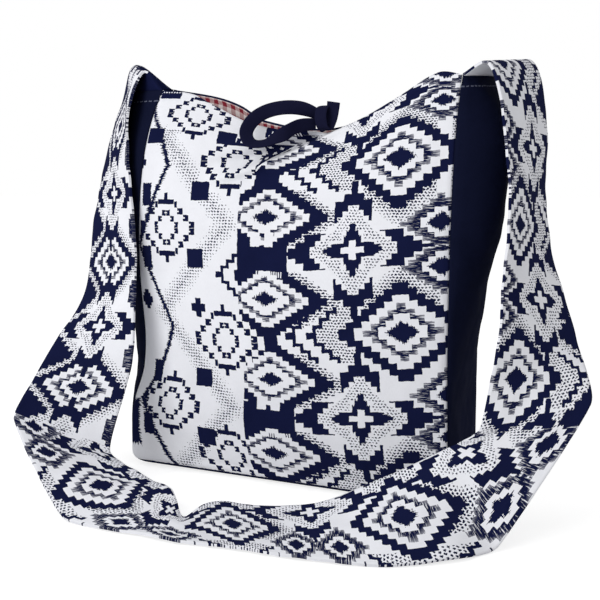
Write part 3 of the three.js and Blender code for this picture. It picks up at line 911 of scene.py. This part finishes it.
def light_ink(p):
    fine = p.dashes((3.4, 2.8), (1.1, 0.75), 0.5)
    broken = any_of([p.broken(middle) for middle in BROKEN_AT])
    squares = any_of([p.box(middle, (10, 8.8)) for middle in SQUARES_AT])
    plus = p.box((84, 169), (3.5, 8.8)) | p.box((84, 169), (8.6, 3.7))
    band = abs(zigzag(p, 75, 172, 120, 84))
    clear = p.box((120, 307), (36, 30)) | p.box((70, 364), (34, 22))
    dotted = (fine + band * 0.085 < 1.3) & (band < 17) & ~clear
    edge = abs(zigzag(p, 149, 154, 46, 38) + p.hair_u * 1.1) < 2.9
    soft, rough = p.brushed(0.35), p.brushed(0.9)
    bars = any_of([soft.box(middle, (6, 11)) for middle in BARS_AT])
    bars = bars | (rough.u < 5) & rough.v.between(22, 70)
    crosses = (p.steps((3, 306), (4.5, 3)) < 2.5) | (p.steps((12, 172), (2.6, 3.2)) < 2.5)
    stairs = (p.steps((136, 201), (6.4, 5.6)) > 2.5) & (p.steps((136, 201), (6.4, 5.6), 0.5) < 4.5)
    stairs = stairs | p.box((132, 201), (3, 5))
    stitches = p.box((30, 396), (20, 0.9)) & ((p.u / 3.2).part() < 0.55)
    hem_bar = p.box((30, 393), (13, 7)) & ~stitches
    return any_of([broken, squares, plus, stairs, dotted, bars, crosses, hem_bar, edge])


print(len(BROKEN_AT), "broken diamonds are laid out")

# %% [markdown]
# Between both stripes runs a dark column of small medallions. The whole front joins the three, with the
# dark cloth tucked under the knot, a navy line at the back's hem, and a dark line at the base seam that is
# the base's navy edge together with painted contact shade.

# %% Front print
COLUMN_STEP, COLUMN_PERIOD = (6.4, 3.6), 73.4
LEFT_EDGE = 132  # where the airy stripe ends
BASE_SEAM_AND_SHADE_LINE, BACK_HEM_LINE = 5, 449


def front_ink(p):
    dots = p.dashes(*DOTS)
    lines = p.dashes((4.4, 2.6), (1.55, 0.72))
    column = p.repeat(34, COLUMN_PERIOD)
    n = column.steps((162, 0), COLUMN_STEP)
    dark = column.nested((161, 0), COLUMN_STEP, (14, 7), (3.5, 5.5)) | n.between(6.5, 9.5)
    fringe = n.between(9.5, 11.5) & (p.u > 188) & (abs(column.v) < 25) & (lines + (n - 10) * 0.35 < 1.5)
    block = p.repeat(67, 151.5).box((158, 0), (28, 17))
    block = block | column.repeat(COLUMN_PERIOD / 2, COLUMN_PERIOD).box((158, 0), (13, 11))
    comb = p.repeat(53, 150).box((166, 0), (14, 2.6)) & ((p.u / 2.4).part() > 0.5)
    teeth = p.repeat(234, 150).box((158.5, 0), (12, 6.5)) & (abs(p.u - 158.5) > 2.6)
    dark = (block & (n > 6.5) | dark | fringe) & ~comb & ~teeth
    # cloth tucked under the knot, dark with bare squares, above a bare line along the fold that is the print's
    # white together with a painted highlight on the fold's edge
    rise = p.v - p.u * 1.33 - 104
    tucked = (rise > 0) & p.v.between(286, 336) & (p.u > 146)
    dark = (dark & ~tucked) | tucked & (p.dashes((9.4, 7.6), (1.9, 1.6)) > 1) & ~(rise < 2.6)
    right = stripe_ink(p, dots) & ~(n < 9.5) & ~block
    in_left = (p.u - (p.v > 290) * 14 < LEFT_EDGE) | (p.steps((120, 140), BROKEN_STEP) < 4.5)
    ink = (light_ink(p) & in_left) | ((dark | right & ~tucked) & ~in_left)
    # the dark line at the base is the base's navy edge rolling up together with painted contact shade under the
    # bottom edge
    return ink | (p.v < BASE_SEAM_AND_SHADE_LINE) | (p.v > BACK_HEM_LINE)


print("small medallions repeat every", COLUMN_PERIOD, "mm")

# %% [markdown]
# Up to its first fold the strap shows stars and medallions in one row, and after it the main stripe,
# turned over at the far side. Its inner face lies a metre away on the flat cloth, so one function can
# give both faces their own ink.

# %% Strap print
FIRST_TURN, SECOND_TURN = 425, 905
MIDDLE, STRAP_STEP, STRAP_PERIOD = (45, 0), (5.6, 5.0), 143
NAVY_AND_SHADE_INSIDE, NAVY_AND_SHADE_END, PALE_FACING = 110, 22, 1165


def strap_ink(p):
    inside = p.u > 500
    p = p.moved(p.u - inside * 1000, p.v)
    off_middle = p.u - 45
    dots = p.dashes(*DOTS)
    q = p.repeat(232, STRAP_PERIOD)
    n = q.steps(MIDDLE, STRAP_STEP)
    motif = q.nested(MIDDLE, STRAP_STEP, (12, 9), (2.5, 4.5)) | n.between(5.5, 7.5)
    far = q.brushed(0.4).far(MIDDLE, STRAP_STEP)
    fringe = (far < 11) & (n > 7.5) & (dots + (far - 8) * 0.75 < 2.4)
    starred = p.repeat(160.5, STRAP_PERIOD)
    star, cover = starred.moved(off_middle * 1.35 + 45, starred.v).star(MIDDLE, dots)
    lozenge = (abs(abs(q.v) - 35) / 5).floor() + ((abs(off_middle) - 45) / -5).floor()
    lozenge = (abs(off_middle) > 36) & (lozenge < 2.5) & p.streak
    upper = ((motif | fringe) & ~cover) | star | lozenge
    over = p.v > SECOND_TURN
    across = (off_middle + over * 22) * (over * -2.8 + 1.4) + MEDALLION[0]
    lower = stripe_ink(p.moved(across, (p.v - 804) * 1.049 + 157), dots)
    ink = (upper & (p.v < FIRST_TURN)) | (lower & (p.v > FIRST_TURN))
    n = p.brushed(0.3).repeat(196, STRAP_PERIOD / 2).steps((94, 0), (6, 5)) + over
    margin = (n < 4.5) | (n < 6.5) & (dots < 1)
    ink = ink | margin & ((p.v < FIRST_TURN) | over)
    # navy at the left end, on the inner face for 110 mm and on both faces for 22 mm: the gusset's navy running
    # into the arch together with painted shade of the deep shadow inside the left arch
    navy_and_shade = (inside & (p.v < NAVY_AND_SHADE_INSIDE)) | (p.v < NAVY_AND_SHADE_END)
    return (ink | navy_and_shade) & ~(inside & (p.v > PALE_FACING))


print("strap print changes at", FIRST_TURN, "and", SECOND_TURN, "mm")

# %% [markdown]
# Cotton has a plain weave that is felt more than seen: a little slubby, so colour and surface both vary.
# A fine bump from two crossed waves gives that at thread size, and the shine is kept low.

# %% Cotton
ROUGH, SHINE = 0.86, 0.02
BUMP_STRENGTH, BUMP_DEPTH = 0.5, 0.12 * MM
TONE = 0.08  # share of the ramp that varies each colour


def linear(*values):
    """Colour values from 0 to 255, as seen on a screen, turned into amounts of light."""
    return tuple((x / 255 / 12.92) if x < 11 else ((x / 255 + 0.055) / 1.055) ** 2.4 for x in values)


def weave_height(u, v, pitch):
    warp = (u * (2 * math.pi / pitch)).made("SINE")
    weft = (v * (2 * math.pi / pitch)).made("SINE")
    slub = noise(u, v, 0.9, 0.15) + noise(u, v, 0.15, 0.9)
    return warp * weft * 0.35 + slub * 0.8


def cotton(name, ink_of, bare, inked, pitch=0.9):
    material = bpy.data.materials.new(name)
    material.use_nodes = True
    tree = material.node_tree
    shader = tree.nodes["Principled BSDF"]
    dial(shader, Roughness=ROUGH, Specular_IOR_Level=SHINE)
    p = Print(tree)
    ink = ink_of(p)
    cloud = noise(p.u, p.v, 0.035, 0.035, 3) * 0.6 + noise(p.u, p.v, 1.3, 0.35, 1) * 0.4
    ramp = tree.nodes.new("ShaderNodeValToRGB")
    stops = ramp.color_ramp.elements
    stops[0].color, stops[1].color = (*bare, 1), (*(c * 0.75 for c in inked), 1)
    for at, colour in ((TONE, [c * 0.86 for c in bare]), (1 - TONE, [c * 1.25 for c in inked])):
        stops.new(at).color = (*colour, 1)
    tree.links.new((ink * (1 - TONE) + cloud * TONE).socket, ramp.inputs[0])
    tree.links.new(ramp.outputs[0], shader.inputs["Base Color"])
    bump = tree.nodes.new("ShaderNodeBump")
    dial(bump, Strength=BUMP_STRENGTH, Distance=BUMP_DEPTH)
    tree.links.new(weave_height(p.u, p.v, pitch).socket, bump.inputs["Height"])
    tree.links.new(bump.outputs[0], shader.inputs["Normal"])
    print(name, "has", len(tree.nodes), "nodes")
    return material


print("the bump of the weave is", BUMP_DEPTH / MM, "mm deep")

# %% [markdown]
# Five cloths are needed: the print of the walls and that of the strap, plain navy, navy with a row of pale
# stitches, and the red check of the lining.

# %% Cloth colours
WHITE, PRINT_NAVY = linear(243, 244, 250), linear(20, 25, 58)
PLAIN_NAVY, DEEP_NAVY = linear(28, 29, 54), linear(19, 20, 42)
THREAD, GUSSET_NAVY = linear(96, 100, 118), linear(18, 22, 44)
LINING_WHITE, LINING_RED = linear(238, 228, 226), linear(142, 48, 60)
CHECK, STITCH = 9.6, 4.2


def plain_ink(p):
    return (noise(p.u, p.v, 0.06, 0.06, 4) - 0.25) * 1.1


def checked_ink(p):
    return (((p.u / CHECK).part() > 0.5) * 0.5) + (((p.v / CHECK).part() > 0.5) * 0.5)


def stitched_ink(p):
    """Plain cloth with one row of pale stitches, ten millimetres below the hem."""
    return ~(((p.u / STITCH).part() < 0.6) & p.v.between(489.4, 490.6))


printed = cotton("printed_cotton_front", front_ink, WHITE, PRINT_NAVY)
strap_print = cotton("printed_cotton_strap", strap_ink, WHITE, PRINT_NAVY)
navy = cotton("navy_cotton_cloth", plain_ink, PLAIN_NAVY, DEEP_NAVY, pitch=1.0)
stitched = cotton("navy_cotton_stitched", stitched_ink, THREAD, GUSSET_NAVY, pitch=1.0)
checked = cotton("checked_lining_cloth", checked_ink, LINING_WHITE, LINING_RED, pitch=0.7)
for cloth, pieces in ((printed, (front_panel, back_panel)), (strap_print, (strap,)), (checked, linings),
                      (stitched, (left_gusset, right_gusset)), (navy, (base_panel, front_tie, back_tie))):
    for piece in pieces:
        piece.data.materials.append(cloth)

# %% [markdown]
# The bag stands on a plain floor. Seen by the camera the floor glows a little, so that it comes out white
# but keeps the shadow. To every other ray it is an ordinary pale floor.

# %% Floor
FLOOR_HALF, FLOOR_LEVEL = 30, -0.0005
FLOOR_PALE, FLOOR_SEEN, FLOOR_GLOW = 0.8, 0.52, 0.72
floor_mesh = bpy.data.meshes.new("floor")
floor_corners = [(x * FLOOR_HALF, y * FLOOR_HALF, FLOOR_LEVEL) for x, y in ((-1, -1), (1, -1), (1, 1), (-1, 1))]
floor_mesh.from_pydata(floor_corners, [], [(0, 1, 2, 3)])
floor = added("floor", floor_mesh)
floor_paint = bpy.data.materials.new("floor_paint")
floor_paint.use_nodes = True
nodes, links = floor_paint.node_tree.nodes, floor_paint.node_tree.links
nodes.remove(nodes["Principled BSDF"])
plain, seen = nodes.new("ShaderNodeBsdfDiffuse"), nodes.new("ShaderNodeBsdfDiffuse")
glow, both = nodes.new("ShaderNodeEmission"), nodes.new("ShaderNodeAddShader")
choice, ray = nodes.new("ShaderNodeMixShader"), nodes.new("ShaderNodeLightPath")
dial(plain, Color=(*[FLOOR_PALE] * 3, 1))
dial(seen, Color=(*[FLOOR_SEEN] * 3, 1))
dial(glow, Strength=FLOOR_GLOW)
links.new(seen.outputs[0], both.inputs[0])
links.new(glow.outputs[0], both.inputs[1])
links.new(ray.outputs["Is Camera Ray"], choice.inputs[0])
links.new(plain.outputs[0], choice.inputs[1])
links.new(both.outputs[0], choice.inputs[2])
links.new(choice.outputs[0], nodes["Material Output"].inputs["Surface"])
floor_mesh.materials.append(floor_paint)
print("floor reaches", FLOOR_HALF, "metres each way")

# %% [markdown]
# One large lamp at the front left gives soft shadows and a weak one at the right opens them. The white
# world is at full strength only where it is seen, by the camera or in a shine.

# %% Lamps and world
LAMP_AIM = np.array([0, 0, 0.18])
WORLD_LIGHT, WORLD_SEEN = 0.59, 1.0


def lamp(name, size, power, where):
    light = bpy.data.lights.new(name, "AREA")
    light.size, light.energy = size, power
    thing = added(name, light)
    thing.location = where
    thing.rotation_euler = Vector(LAMP_AIM - where).to_track_quat("-Z", "Y").to_euler()


lamp("key_lamp", 1.6, 27.6, (-0.9, -1.88, 1.3))
lamp("fill_lamp", 1.8, 1, (1.7, -1.3, 1.1))
world = bpy.data.worlds.new("studio")
world.use_nodes = True
bpy.context.scene.world = world
nodes, links = world.node_tree.nodes, world.node_tree.links
ray = nodes.new("ShaderNodeLightPath")
seen = nodes.new("ShaderNodeMath")
seen.operation = "MAXIMUM"
links.new(ray.outputs["Is Camera Ray"], seen.inputs[0])
links.new(ray.outputs["Is Glossy Ray"], seen.inputs[1])
strength = nodes.new("ShaderNodeMapRange")
dial(strength, To_Min=WORLD_LIGHT, To_Max=WORLD_SEEN)
links.new(seen.outputs[0], strength.inputs["Value"])
dial(nodes["Background"], Color=(1, 1, 1, 1))
links.new(strength.outputs[0], nodes["Background"].inputs["Strength"])
bpy.context.scene.view_settings.view_transform = "Standard"
print("studio is lit")
